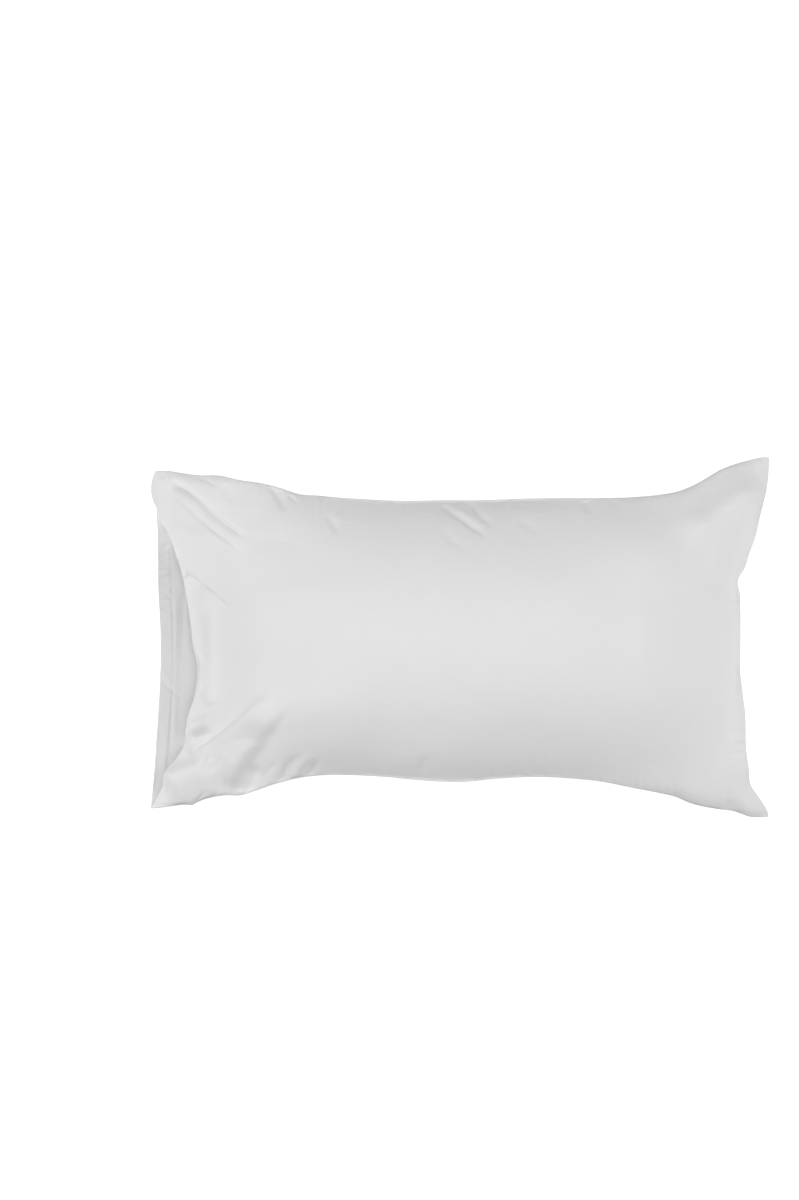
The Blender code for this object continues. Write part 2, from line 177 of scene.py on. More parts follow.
FACE_CREASES = (
    # the roll between the two long pulls out of the far mouth corner
    Crease(
        ((-402, 208), (-388, 199), (-367, 181), (-348, 165), (-330, 150), (-312, 136), (-291, 118)),
        10, -6.5, Profile.ROLL, start=0.25, lean=1.1,
    ),
    Crease(
        ((-404, 218), (-382, 206), (-357, 185), (-331, 161), (-310, 146), (-289, 127)),
        5.5, 5, Profile.SHARP, start=0.1, lean=0.7,
    ),
    # short pull near the far seam
    Crease(((-370, 225), (-350, 217), (-331, 206)), 2.6, 1.5, Profile.SHARP, start=0.1, end=0.4),
    Crease(((-330, 212), (-317, 193), (-310, 179)), 5, 1.2, start=0.2, end=0.5),
    # tuck at the far seam, and the knot beside it
    Crease(((-256, 206), (-248, 189), (-242, 171)), 5, 3.2, start=0, end=0.6),
    Crease(((-238, 197), (-231, 192), (-224, 185)), 2.6, 2, Profile.SHARP, start=0.05, end=0.5),
    Crease(((-233, 201), (-222, 190)), 3.5, -1.2, start=0.1, end=0.5),
    # small tuck at the far seam, and its raised side
    Crease(((-186, 174), (-176, 157), (-168, 139)), 4, 1.9, end=0.4),
    Crease(((-172, 174), (-163, 157)), 4, -1, end=0.4),
    # pulls at the middle of the far seam
    Crease(((-26, 183), (0, 165), (25, 147), (43, 132)), 3.4, 2.3, Profile.SHARP, start=0.1, end=0.4),
    Crease(((14, 186), (29, 168), (47, 150)), 3.2, 2, Profile.SHARP, start=0.1, end=0.4),
    Crease(((-15, 183), (14, 165), (37, 149)), 3.5, -0.9, start=0.2, end=0.4),
    Crease(((-28, 152), (-11, 134), (11, 120)), 4.5, 1.2, end=0.5),
    # puckers further along the far seam
    Crease(((78, 167), (96, 153), (111, 143)), 4.5, 1.1, end=0.5),
    Crease(((172, 189), (176, 179), (179, 168)), 3.4, 1.6, start=0.1, end=0.5),
    Crease(((211, 190), (216, 179)), 3.4, 0.7, start=0.1, end=0.5),
    # dimple at the root of the far ear, which rounds down to its seam
    Crease(((299, 134), (328, 149), (352, 168), (377, 185), (402, 203), (424, 222)), 26, -11, lean=0.6),
    # crease at the turned edge, below its raised side
    Crease(
        ((-382, 100), (-366, 89), (-349, 75), (-334, 61), (-307, 46)),
        5, -3.4, start=0.15, end=0.45, lean=3,
    ),
    Crease(
        ((-381, 88), (-368, 78), (-355, 67), (-341, 56), (-325, 43), (-303, 32)),
        6, 4.4, start=0.05, end=0.45, lean=0.5,
    ),
    # small crease under the lobe, and its raised side
    Crease(((-403, 129), (-397, 124), (-389, 117)), 2.2, 1.8, Profile.SHARP, start=0.1),
    Crease(((-399, 113), (-389, 109), (-382, 99)), 2.4, -1, start=0.1),
    # soft hollow and dimples inside the turned edge
    Crease(
        ((-367, 71), (-356, 46), (-349, 13), (-348, -24), (-349, -66), (-352, -101)),
        9, 6.4, start=0.12, end=0.15, lean=1.3,
    ),
    Crease(((-374, -8), (-366, -23), (-356, -38), (-339, -41)), 3.8, 2.4, start=0.15),
    Crease(((-361, -59), (-364, -73), (-371, -85)), 2.8, 1.8, start=0.2),
    Crease(((-361, -87), (-342, -87), (-320, -83)), 3.8, 2, start=0.2, end=0.4),
    Crease(((-335, -67), (-319, -65), (-302, -63)), 4.5, 1.2, end=0.4),
    # pocket beside the turned edge, and the lip below it
    Crease(((-382, -146), (-366, -141), (-352, -135), (-339, -128)), 4.6, 10, start=0, end=0.35, lean=1.3),
    Crease(((-379, -124), (-366, -120), (-350, -114), (-335, -107)), 9, -7, start=0.12, end=0.5, lean=0.6),
    Crease(((-382, -153), (-366, -145), (-349, -137), (-331, -125)), 3, -1, start=0.1, end=0.4, lean=1.3),
    # the roll between the two long pulls out of the near mouth corner
    Crease(
        ((-343, -189), (-331, -175), (-321, -163), (-307, -148), (-289, -128), (-269, -105),
         (-234, -73)),
        33, -9, Profile.ROLL, start=0.25, end=0.35, grow=0.42,
    ),
    Crease(
        ((-377, -160), (-356, -148), (-342, -139), (-325, -127), (-305, -109), (-280, -87)),
        4.4, 4.2, Profile.SHARP, start=0.05, end=0.4,
    ),
    Crease(
        ((-368, -167), (-346, -152), (-325, -135), (-306, -120), (-287, -102), (-262, -81)),
        15, -7.5, start=0.1, end=0.35, lean=0.34,
    ),
    Crease(
        ((-323, -211), (-313, -188), (-302, -167), (-287, -148), (-269, -128)),
        8, -7, start=0.25, end=0.4, lean=2.4,
    ),
    # wide hollow at the foot of the second pull
    Crease(((-296, -217), (-288, -195), (-277, -174)), 8, 4.4, start=0.05, end=0.4),
    # fine line on the roll
    Crease(((-352, -192), (-334, -177), (-317, -161)), 1.8, 1.1, Profile.SHARP),
    # puckers at the near seam
    Crease(((-249, -203), (-238, -181), (-219, -159)), 4.6, 2.2, start=0.1, end=0.4),
    Crease(((-231, -196), (-219, -175), (-202, -156)), 3.6, -1.4, start=0.1, end=0.4),
    Crease(((-208, -192), (-201, -178), (-193, -166)), 4, 1.8, start=0.1, end=0.5),
    Crease(((-274, -206), (-266, -186), (-253, -170)), 4, 1.4, start=0.1, end=0.4),
    # tuck near the near mouth corner, and the ear that rounds down to its seam
    Crease(((-371, -234), (-360, -220), (-349, -210)), 3.4, 2.4, Profile.SHARP, start=0, end=0.5),
    Crease(((-418, -203), (-391, -195), (-363, -184), (-332, -173)), 18, -17, lean=0.6),
    # small marks further along the near seam
    Crease(((-61, -189), (-50, -175), (-35, -159)), 4.5, 1, start=0.2, end=0.5),
    Crease(((86, -185), (97, -179), (105, -175)), 4, 0.7, start=0.2, end=0.5),
    # crease on the near ear of the closed end
    Crease(((366, -238), (375, -231), (381, -224)), 3.2, 1.5, start=0.1, end=0.5),
)
STRIP_CREASES = (
    # slanting crease across the hem and the cloth beyond it
    Crease(
        ((-418.3, -53.5), (-411.3, -61.8), (-404.4, -70.1), (-394.7, -78.4), (-383.6, -88.1)),
        2.4, 1.8, Profile.SHARP, start=0.05, end=0.4,
    ),
    Crease(((-419.7, -42.4), (-411.3, -49.3), (-403, -59)), 3, -1.2, start=0.1, end=0.4),
    # long soft waves beside the hem
    Crease(
        ((-396.1, 65.6), (-395.4, -3.6), (-396.1, -86.7), (-397.5, -162.9)),
        2.2, -0.9, start=0.15, end=0.2,
    ),
    Crease(((-387.8, 86.4), (-385, 24.1), (-386.4, -45.2)), 3.5, 0.8),
    # line inside the hem edge near the near corner
    Crease(
        ((-418.3, -158.7), (-420.3, -186.4), (-423.1, -214.1)),
        1.2, 0.6, Profile.SHARP, start=0.2, end=0.2,
    ),
    # puckers across the hem
    hem_pucker(((-419.7, 126.6), (-412.7, 125.2), (-404.4, 128)), 1.5, 1.8),
    hem_pucker(((-419.7, 114.1), (-412.7, 112.7), (-404.4, 115.5)), 1.7, 2.2),
    hem_pucker(((-418.3, 103), (-411.3, 104.4), (-404.4, 103)), 1.4, 1.6),
    hem_pucker(((-418.3, 94.7), (-411.3, 96.1), (-403, 96.1)), 1.7, 2.4),
    hem_pucker(((-418.3, 80.9), (-411.3, 82.3), (-404.4, 85)), 2, 2.8),
    hem_pucker(((-418.3, 71.2), (-410, 71.2), (-403, 72.6)), 1.5, 1.6),
    hem_pucker(((-416.9, 57.3), (-410, 56), (-403, 57.3)), 1.7, 1.4),
    hem_pucker(((-416.9, 37.9), (-410, 39.3), (-403, 36.6)), 1.9, 1.4),
)


# --------------------------------------------------------------------------- shared cloth geometry
def fade(t: np.ndarray) -> np.ndarray:
    """A soft step from 0 at t = 0 to 1 at t = 1."""
    t = np.clip(t, 0, 1)
    return t * t * (3 - 2 * t)


def beside_ends(extra: float, reach: float) -> Density:
    """A density that is higher by an extra share beside both ends of a run."""
    return lambda s: 1 + extra * np.exp(-np.minimum(s, 1 - s) / reach)


def smooth_edge(table: EdgeTable, shares: np.ndarray) -> np.ndarray:
    """A smooth curve through an edge's table.

    Args:
        table: The edge's points in millimetres.
        shares: Where along the longest plan side of the edge the curve is wanted, 0 to 1.

    Returns:
        One point in metres for each share.
    """
    rows = np.array(table, float) * MM
    span = rows[-1, :2] - rows[0, :2]
    along = rows[:, int(abs(span[1]) > abs(span[0]))]
    at = along[0] + shares * (along[-1] - along[0])
    slopes = np.gradient(rows, along, axis=0)
    cell = np.clip(np.searchsorted(along, at) - 1, 0, len(along) - 2)
    step = (along[cell + 1] - along[cell])[:, None]
    t = ((at - along[cell]) / step[:, 0])[:, None]
    start = rows[cell] * (1 + 2 * t) * (1 - t) ** 2 + slopes[cell] * step * t * (1 - t) ** 2
    end = rows[cell + 1] * t**2 * (3 - 2 * t) + slopes[cell + 1] * step * t**2 * (t - 1)
    return start + end


def seam_from(table: EdgeTable, start: np.ndarray, u: np.ndarray) -> np.ndarray:
    """A side seam from the place where a mouth edge meets it to the closed end.

    Args:
        table: The side seam's points in millimetres.
        start: The corner point of the mouth edge, in metres.
        u: Shares of the length from that corner to the closed end.

    Returns:
        One point in metres for each share.
    """
    first, last = table[0][0] * MM, table[-1][0] * MM
    offset = (start[0] - first) / (last - first)
    curve = smooth_edge(table, offset + u * (1 - offset))
    return curve + (start - curve[0]) * np.clip(1 - u / CORNER_REACH, 0, 1)[:, None] ** 2


def grid_normals(grid: np.ndarray) -> np.ndarray:
    """Unit normals of a grid of cloth.

    Args:
        grid: The cloth's points, rows by columns.

    Returns:
        A normal for each point, upwards where the grid lies face up.
    """
    across, along = np.gradient(grid, axis=0), np.gradient(grid, axis=1)
    normals = np.cross(along, across)
    return normals / np.linalg.norm(normals, axis=2, keepdims=True)


def run_lengths(grid: np.ndarray, axis: int) -> np.ndarray:
    """Distance from a grid's first line to each point, measured over the cloth.

    Args:
        grid: The cloth's points, rows by columns.
        axis: 0 to measure across the case, 1 to measure along it.

    Returns:
        The distance in metres at each point.
    """
    steps = np.linalg.norm(np.diff(grid, axis=axis), axis=2)
    pad = [(0, 0), (0, 0)]
    pad[axis] = (1, 0)
    return np.cumsum(np.pad(steps, pad), axis=axis)


def cloth_metres(grid: np.ndarray) -> np.ndarray:
    """A flat map of a grid of cloth.

    Args:
        grid: The cloth's points, rows by columns.

    Returns:
        How far each point lies along and across the cloth, in metres.
    """
    along = run_lengths(grid, 1).mean(axis=0)
    across = run_lengths(grid, 0).mean(axis=1)
    return np.stack(np.broadcast_arrays(along[None, :], across[:, None]), axis=2)


def crowded_shares(count: int, density: Density, steps: int = 4000) -> np.ndarray:
    """Shares from 0 to 1 that lie closer together where the density is higher.

    Args:
        count: How many shares.
        density: Gives the wanted density at each place from 0 to 1.
        steps: How finely the density is added up.

    Returns:
        The shares, in order.
    """
    fine = np.linspace(0, 1, steps + 1)
    weight = density(fine)
    run = np.concatenate([[0], np.cumsum(0.5 * (weight[1:] + weight[:-1]))])
    return np.interp(np.linspace(0, 1, count), run / run[-1], fine)


def spline_weights(count: int, shares: np.ndarray) -> np.ndarray:
    """Weights that read an evenly spaced line of values at other places, smoothly.

    Args:
        count: How many values the line has.
        shares: The places to read, 0 to 1.

    Returns:
        A matrix with a row for each place and a column for each value.
    """
    at = shares * (count - 1)
    cell = np.clip(np.floor(at).astype(int), 0, count - 2)
    t = at - cell
    parts = (
        0.5 * (-t + 2 * t**2 - t**3),
        0.5 * (2 - 5 * t**2 + 3 * t**3),
        0.5 * (t + 4 * t**2 - 3 * t**3),
        0.5 * (-(t**2) + t**3),
    )
    weights = np.zeros((len(shares), count))
    for offset, part in zip((-1, 0, 1, 2), parts):
        column = np.clip(cell + offset, 0, count - 1)
        np.add.at(weights, (np.arange(len(shares)), column), part)
    return weights


def smooth_path(points: PlanPath, pieces: int = 10) -> np.ndarray:
    """A rounded path through a few points of the plan.

    Args:
        points: The points in millimetres.
        pieces: How many short pieces lie between one point and the next.

    Returns:
        The path's points in metres.
    """
    rows = np.array(points, float) * MM
    padded = np.concatenate([2 * rows[:1] - rows[1:2], rows, 2 * rows[-1:] - rows[-2:-1]])
    t = np.linspace(0, 1, pieces, endpoint=False)[:, None]
    out = []
    for p0, p1, p2, p3 in zip(padded, padded[1:], padded[2:], padded[3:]):
        bend = 2 * p0 - 5 * p1 + 4 * p2 - p3
        turn = 3 * p1 - p0 - 3 * p2 + p3
        out.append(0.5 * (2 * p1 + (p2 - p0) * t + bend * t**2 + turn * t**3))
    return np.concatenate(out + [rows[-1:]])


def cross_section(profile: Profile, spread: np.ndarray) -> np.ndarray:
    """A crease's shape to either side of its path.

    Args:
        profile: How it runs out.
        spread: Distances from the path, counted in widths.

    Returns:
        The share of the full depth at each distance.
    """
    if profile is Profile.SHARP:
        return np.clip(1 - spread / SHARP_REACH, 0, 1) ** SHARP_POWER
    if profile is Profile.ROLL:
        return np.exp(-(spread**4))
    return np.exp(-0.5 * spread**2)


def crease_depth(creases: tuple[Crease, ...], plan: np.ndarray) -> np.ndarray:
    """How far creases press the cloth in at each place.

    Args:
        creases: The creases, in millimetres.
        plan: Places across the plan in metres, of any shape, with x and y last.

    Returns:
        The depth in metres at each place.
    """
    flat = plan.reshape(-1, plan.shape[-1])[:, :2]
    depth = np.zeros(len(flat))
    for crease in creases:
        path = smooth_path(crease.path)
        widest = crease.width * max(crease.lean, 1.0) * max(crease.grow, 1.0)
        reach = CREASE_REACH * widest * MM
        near = np.all((flat > path.min(0) - reach) & (flat < path.max(0) + reach), axis=1)
        places = flat[near]
        start, run = path[:-1], np.diff(path, axis=0)
        length = np.linalg.norm(run, axis=1)
        offset = places[:, None] - start[None]
        t = np.clip((offset * run).sum(2) / length**2, 0, 1)
        away = np.linalg.norm(offset - t[..., None] * run, axis=2)
        closest = away.argmin(1)
        pick = np.arange(len(places)), closest
        share = (np.cumsum(length)[closest] - (1 - t[pick]) * length[closest]) / length.sum()
        side = run[closest, 0] * offset[pick][:, 1] - run[closest, 1] * offset[pick][:, 0]
        width = crease.width * MM * np.where(side > 0, crease.lean, 1.0)
        spread = away[pick] / (width * (1 + (crease.grow - 1) * share))
        shape = cross_section(crease.profile, spread)
        for part, left in ((crease.start, share), (crease.end, 1 - share)):
            if part > 0:
                shape = shape * fade(left / part)
        depth[near] += crease.depth * MM * shape
    return depth.reshape(plan.shape[:-1])


def wander(place: np.ndarray, wavelength: float, seed: int) -> np.ndarray:
    """A smooth uneven wave along a length.

    Args:
        place: Distances along it, in metres.
        wavelength: Its usual wavelength, in metres.
        seed: Fixes its phases and sizes.

    Returns:
        A value between about -1 and 1 at each distance.
    """
    draw = np.random.default_rng(seed)
    total = np.zeros_like(place)
    for stretch in WAVE_STRETCHES:
        phase, size = draw.uniform(0, 2 * np.pi), draw.uniform(0.5, 1)
        total = total + size * np.sin(2 * np.pi * place / (wavelength * stretch) + phase)
    return total / WAVE_SCALE


@dataclass(frozen=True)
class CaseForm:
    """The shape that both panels share: how full the pillow is, and where the back lies."""

    cloth: float = 0.0011
    seam_gap: float = 0.0003
    crown: float = 0.0915
    turned_edge: float = 0.0016
    mouth_depth: float = 0.16
    length_power: float = 5.0
    width_power: float = 1.8
    crown_power: float = 0.85
    corner_softening: float = 0.8
    edge_power: float = 14
    rest_fullness: float = 0.45
    belly_power: float = 1.8
    end_reach: float = 0.25
    mouth_slack: float = 0.34
    close_share: float = 1.2
    close_reach: float = 25.0
    line_reach: float = 0.06
    swell_end_power: float = 10
    swell_side_power: float = 6

    def fullness(self, u: np.ndarray, v: np.ndarray) -> np.ndarray:
        """How full the pillow is.

        Args:
            u: Shares of the length, from the mouth to the closed end.
            v: Shares of the width, from the near seam to the far one.

        Returns:
            1 in the middle, fading in the corners and at the seams, rows across by columns along.
        """
        along = np.abs(2 * u - 1)[None, :]
        across = np.abs(2 * v - 1)[:, None]
        left = 1 - along**self.length_power - across**self.width_power
        blur = self.corner_softening * (along * across) ** 2
        soft = 0.5 * (left + np.sqrt(left**2 + blur**2))
        return soft * (1 - along**self.edge_power) * (1 - across**self.edge_power)

    def swelling(self, grid: np.ndarray, u: np.ndarray, v: np.ndarray) -> np.ndarray:
        """How much higher the face stands for its swells.

        Args:
            grid: The face's points in metres.
            u: Shares of the length at its columns.
            v: Shares of the width at its rows.

        Returns:
            The rise in metres at each point, fading at every seam.
        """
        height = np.zeros(grid.shape[:2])
        for swell in FACE_SWELLS:
            along = (grid[..., 0] / MM - swell.x) / swell.x_reach
            across = (grid[..., 1] / MM - swell.y) / swell.y_reach
            height += swell.height * MM * np.exp(-0.5 * (along**2 + across**2))
        end_fade = 1 - np.abs(2 * u - 1)[None, :] ** self.swell_end_power
        return height * end_fade * (1 - np.abs(2 * v - 1)[:, None] ** self.swell_side_power)

    def patch(self, mouth_table: EdgeTable, u: np.ndarray, v: np.ndarray) -> np.ndarray:
        """Plan places and seam heights of a panel.

        Args:
            mouth_table: The mouth edge that the panel starts at, in millimetres.
            u: Shares of the length, from the mouth to the closed end.
            v: Shares of the width, from the near seam to the far one.

        Returns:
            Points in metres, rows across by columns along.
        """
        mouth, end = smooth_edge(mouth_table, v), smooth_edge(END_SEAM, v)
        near, far = seam_from(NEAR_SEAM, mouth[0], u), seam_from(FAR_SEAM, mouth[-1], u)
        across = v[:, None, None]
        sides = near[None] * (1 - across) + far[None] * across
        mouth_extra = (mouth - sides[:, 0])[:, None]
        end_extra = (end - sides[:, -1])[:, None]
        toward = np.stack([u, u, np.clip(1 - (1 - u) / self.end_reach, 0, 1) ** 2], axis=1)
        away = np.stack([1 - u, 1 - u, np.clip(1 - u / self.end_reach, 0, 1) ** 2], axis=1)
        return sides + away[None] * mouth_extra + toward[None] * end_extra

    def back(self, u: np.ndarray, v: np.ndarray, least_strip: float = -np.inf) -> np.ndarray:
        """The back panel's lower side under the pillow, from the turned edge's line onward.

        Args:
            u: Shares of the length, from that line to the closed end.
            v: Shares of the width, from the near seam to the far one.
            least_strip: Keeps the line at least so many millimetres inside the hem's edge.

        Returns:
            Points in metres, rows across by columns along.
        """
        hem = np.array(HEM_EDGE, float)
        table = []
        for x, y, _ in TURNED_EDGE:
            hem_x, hem_z = (np.interp(y, hem[:, 1], hem[:, k]) for k in (0, 2))
            close = np.clip(self.close_share - (x - hem_x) / self.close_reach, 0, 1)
            table.append((max(x, hem_x + least_strip), y, hem_z * close))
        under = self.patch(tuple(table), u, v)
        opened = fade(u / self.line_reach)[None] * (1 - (2 * v - 1) ** 2)[:, None]
        slack = np.clip(1 - u / self.mouth_slack, 0, 1)[None] * opened
        belly = np.clip(1 - self.fullness(u, v) / self.rest_fullness, 0, 1) ** self.belly_power
        under[..., 2] = np.maximum(under[..., 2], 0) * belly * (1 - slack)
        return under

    def on_back(self, u: np.ndarray, v: np.ndarray) -> np.ndarray:
        """The face's inner side where it lies on the back, a thin gap above it."""
        lower = self.back(u, v)
        return lower + grid_normals(lower) * (self.cloth + self.seam_gap)

    def face(self, u: np.ndarray, v: np.ndarray) -> tuple[np.ndarray, np.ndarray]:
        """The face's outer side, crowned, and its inner side, which lies on the back.

        Args:
            u: Shares of the length, from the turned edge to the closed end.
            v: Shares of the width, from the near seam to the far one.

        Returns:
            The upper points and the lower points, in metres.
        """
        lower = self.on_back(u, v)
        upper = self.patch(TURNED_EDGE, u, v)
        rim = 2 * self.cloth + self.seam_gap
        upper[..., 2] += rim * np.clip(u / self.end_reach, 0, 1)[None]
        upper[..., 2] += self.crown * self.fullness(u, v) ** self.crown_power
        upper[..., 2] += self.swelling(upper, u, v)
        opened = np.clip(1 - u / self.mouth_depth, 0, 1)[None] ** 2
        raised = upper[:, :1, 2] - self.turned_edge - lower[:, :1, 2]
        lower[..., 2] += opened * np.maximum(raised, 0)
        return upper, lower


# --------------------------------------------------------------------------------- mesh building
def link(name: str, data: bpy.types.ID) -> bpy.types.Object:
    """An object at the origin, in the scene, with a mesh, curve, lamp or camera of its own."""
    made = bpy.data.objects.new(name, data)
    bpy.context.scene.collection.objects.link(made)
    return made


def perimeter(rows: int, columns: int) -> np.ndarray:
    """The points round the edge of a grid, in order, from its first corner.

    Args:
        rows: How many rows the grid has.
        columns: How many columns it has.

    Returns:
        The row and column of each point.
    """
    loop = [(0, c) for c in range(columns)]
    loop += [(r, columns - 1) for r in range(1, rows)]
    loop += [(rows - 1, c) for c in range(columns - 2, -1, -1)]
    loop += [(r, 0) for r in range(rows - 2, 0, -1)]
    return np.array(loop)


def outward_at_rim(grid: np.ndarray) -> np.ndarray:
    """Directions that lead off the cloth at each point round its edge.

    Args:
        grid: The cloth's points, rows by columns.

    Returns:
        A unit direction for each point of the perimeter.
    """
    along, across = np.gradient(grid, axis=1), np.gradient(grid, axis=0)
    loop = perimeter(*grid.shape[:2])
    rows, columns = grid.shape[:2]
    out = np.zeros((len(loop), 3))
    for place, (r, c) in enumerate(loop):
        if r in (0, rows - 1):
            step = across[r, c] / np.linalg.norm(across[r, c])
            out[place] += step if r else -step
        if c in (0, columns - 1):
            step = along[r, c] / np.linalg.norm(along[r, c])
            out[place] += step if c else -step
    return out / np.linalg.norm(out, axis=1, keepdims=True)


@dataclass(frozen=True)
class ClosedCloth:
    """One closed cloth body between an upper and a lower grid, with a rounded edge all round.

    The lower grid may be coarser: the stride is how many of the upper grid's cells it spans.
    """

    name: str
    upper: np.ndarray
    lower: np.ndarray
    uv: np.ndarray
    stride: int = 1
    rings: int = 3

    def build(self) -> bpy.types.Object:
        """Make the mesh.

        Returns:
            A smooth-shaded object at the origin, with a UV map in metres of cloth.
        """
        rows, columns = self.upper.shape[:2]
        low_rows, low_columns = self.lower.shape[:2]
        loop, low_loop = perimeter(rows, columns), perimeter(low_rows, low_columns)
        ring_points = self.ring_points(loop, low_loop)
        points = [self.upper.reshape(-1, 3), ring_points.reshape(-1, 3), self.lower.reshape(-1, 3)]
        ring_uv = np.tile(self.uv[loop[:, 0], loop[:, 1]], (self.rings, 1))
        low_uv = self.uv[:: self.stride, :: self.stride]
        uvs = np.concatenate([self.uv.reshape(-1, 2), ring_uv, low_uv.reshape(-1, 2)])
        count = len(loop)
        ring_start = rows * columns
        low_start = ring_start + self.rings * count
        ids = [loop[:, 0] * columns + loop[:, 1]]
        ids += [ring_start + k * count + np.arange(count) for k in range(self.rings)]
        low_ids = low_start + low_loop[:, 0] * low_columns + low_loop[:, 1]
        quads = [self.grid_quads(rows, columns, 0)]
        quads.append(self.grid_quads(low_rows, low_columns, low_start)[:, ::-1])
        for one, two in zip(ids, ids[1:]):
            quads.append(np.stack([one, two, np.roll(two, -1), np.roll(one, -1)], axis=1))
        faces = np.concatenate(quads).tolist() + self.last_faces(ids[-1], low_ids)
        return self.to_object(np.concatenate(points), faces, uvs)

    def ring_points(self, loop: np.ndarray, low_loop: np.ndarray) -> np.ndarray:
        """Points of the rings that round the edge from the upper side to the lower one.

        Args:
            loop: The upper grid's perimeter.
            low_loop: The lower grid's perimeter.

        Returns:
            The points in metres, ring by ring.
        """
        top = self.upper[loop[:, 0], loop[:, 1]]
        places = np.arange(len(loop)) / self.stride
        low = self.lower[low_loop[:, 0], low_loop[:, 1]]
        low = np.concatenate([low, low[:1]])
        cell = places.astype(int)
        bottom = low[cell] + (low[cell + 1] - low[cell]) * (places - cell)[:, None]
        middle, half = 0.5 * (top + bottom), 0.5 * (top - bottom)
        radius = np.linalg.norm(half, axis=1, keepdims=True)
        out = outward_at_rim(self.upper)
        turns = np.pi * (np.arange(self.rings) + 1) / (self.rings + 1)
        return np.stack([middle + half * np.cos(a) + out * radius * np.sin(a) for a in turns])

    @staticmethod
    def grid_quads(rows: int, columns: int, start: int) -> np.ndarray:
        """A grid's quads, anticlockwise seen from above.

        Args:
            rows: How many rows of points the grid has.
            columns: How many columns of points it has.
            start: The number of its first point.

        Returns:
            Four corner numbers for each quad.
        """
        index = start + np.arange(rows * columns).reshape(rows, columns)
        corners = (index[:-1, :-1], index[:-1, 1:], index[1:, 1:], index[1:, :-1])
        return np.stack([c.ravel() for c in corners], axis=1)

    def last_faces(self, ring: np.ndarray, low: np.ndarray) -> list[list[int]]:
        """Faces between the last ring and the lower grid.

        Args:
            ring: Point numbers of the last ring.
            low: Point numbers round the lower grid, every stride-th place of the ring.

        Returns:
            The corner numbers of each face.
        """
        faces = []
        for k, (a, b) in enumerate(zip(low.tolist(), np.roll(low, -1).tolist())):
            fine = [int(ring[(k * self.stride + j) % len(ring)]) for j in range(self.stride + 1)]
            if self.stride == 1:
                faces.append([fine[0], a, b, fine[1]])
            else:
                faces += [[fine[0], a, fine[1]], [fine[1], a, b], [fine[1], b, fine[2]]]
        return faces

    def to_object(self, points: np.ndarray, faces: list, uvs: np.ndarray) -> bpy.types.Object:
        """Turn points and faces into an object.

        Args:
            points: The points in metres.
            faces: The corner numbers of each face.
            uvs: Each point's place on the flat cloth.

        Returns:
            A smooth-shaded object whose faces all point outwards.
        """
        mesh = bpy.data.meshes.new(self.name)
        mesh.from_pydata(points.tolist(), [], faces)
        corner_points = np.empty(len(mesh.loops), int)
        mesh.loops.foreach_get("vertex_index", corner_points)
        layer = mesh.uv_layers.new(name=UV_MAP)
        layer.uv.foreach_set("vector", uvs[corner_points].astype(np.float32).ravel())
        shape = bmesh.new()
        shape.from_mesh(mesh)
        bmesh.ops.recalc_face_normals(shape, faces=shape.faces)
        if shape.calc_volume(signed=True) < 0:
            bmesh.ops.reverse_faces(shape, faces=shape.faces)
        shape.to_mesh(mesh)
        shape.free()
        mesh.shade_smooth()
        return link(self.name, mesh)


# -------------------------------------------------------------------------------------- finishes
class Wiring:
    """Short calls that place and join the nodes of one tree."""

    def __init__(self, tree: bpy.types.NodeTree) -> None:
        """Work on one tree."""
        self.tree = tree

    def feed(self, node: bpy.types.Node, inputs: Inputs) -> None:
        """Join or set some of a node's inputs.

        Args:
            node: The node.
            inputs: For each input's name or number, the output that it joins or its own value.
        """
        for key, value in inputs.items():
            if isinstance(value, bpy.types.NodeSocket):
                self.tree.links.new(value, node.inputs[key])
            else:
                node.inputs[key].default_value = value

    def node(self, kind: str, inputs: Inputs | None = None, **settings: object) -> bpy.types.Node:
        """Place a node.

        Args:
            kind: The node's type.
            inputs: What its inputs are joined or set to.
            **settings: Its own settings, made first.

        Returns:
            The node.
        """
        made = self.tree.nodes.new(kind)
        for key, value in settings.items():
            setattr(made, key, value)
        self.feed(made, inputs or {})
        return made

    def math(self, operation: str, *values: object) -> bpy.types.NodeSocket:
        """The result of one sum."""
        return self.node("ShaderNodeMath", dict(enumerate(values)), operation=operation).outputs[0]

    def noise(
        self, vector: object, scale: Triple, turn: float = 0.0, detail: float = 2.0, rough: float = 0.5
    ) -> bpy.types.NodeSocket:
        """A soft noise.

        Args:
            vector: The place that it is read at.
            scale: How fine it is along each axis.
            turn: How far it is turned about Z, in radians.
            detail: How many finer layers it has.
            rough: How strong those are.

        Returns:
            A value from 0 to 1.
        """
        placing = {"Vector": vector, "Rotation": (0, 0, turn), "Scale": scale}
        placed = self.node("ShaderNodeMapping", placing).outputs["Vector"]
        inputs = {"Vector": placed, "Scale": 1.0, "Detail": detail, "Roughness": rough}
        return self.node("ShaderNodeTexNoise", inputs).outputs["Fac"]

    def blend(self, factor: object, first: Triple, second: Triple) -> bpy.types.NodeSocket:
        """A colour that goes from the first to the second as the factor goes from 0 to 1."""
        inputs = {"Factor": factor, 6: (*first, 1), 7: (*second, 1)}
        return self.node("ShaderNodeMix", inputs, data_type="RGBA").outputs[2]

    def bump(
        self, height: object, distance: float, below: bpy.types.NodeSocket | None = None
    ) -> bpy.types.NodeSocket:
        """A normal bent by a height.

        Args:
            height: The height, from 0 to about 1.
            distance: How deep a height of 1 is, in metres.
            below: The normal that it is added to, where it isn't the mesh's own.

        Returns:
            The normal.
        """
        inputs = {"Strength": 1.0, "Distance": distance, "Height": height}
        if below is not None:
            inputs["Normal"] = below
        return self.node("ShaderNodeBump", inputs).outputs["Normal"]


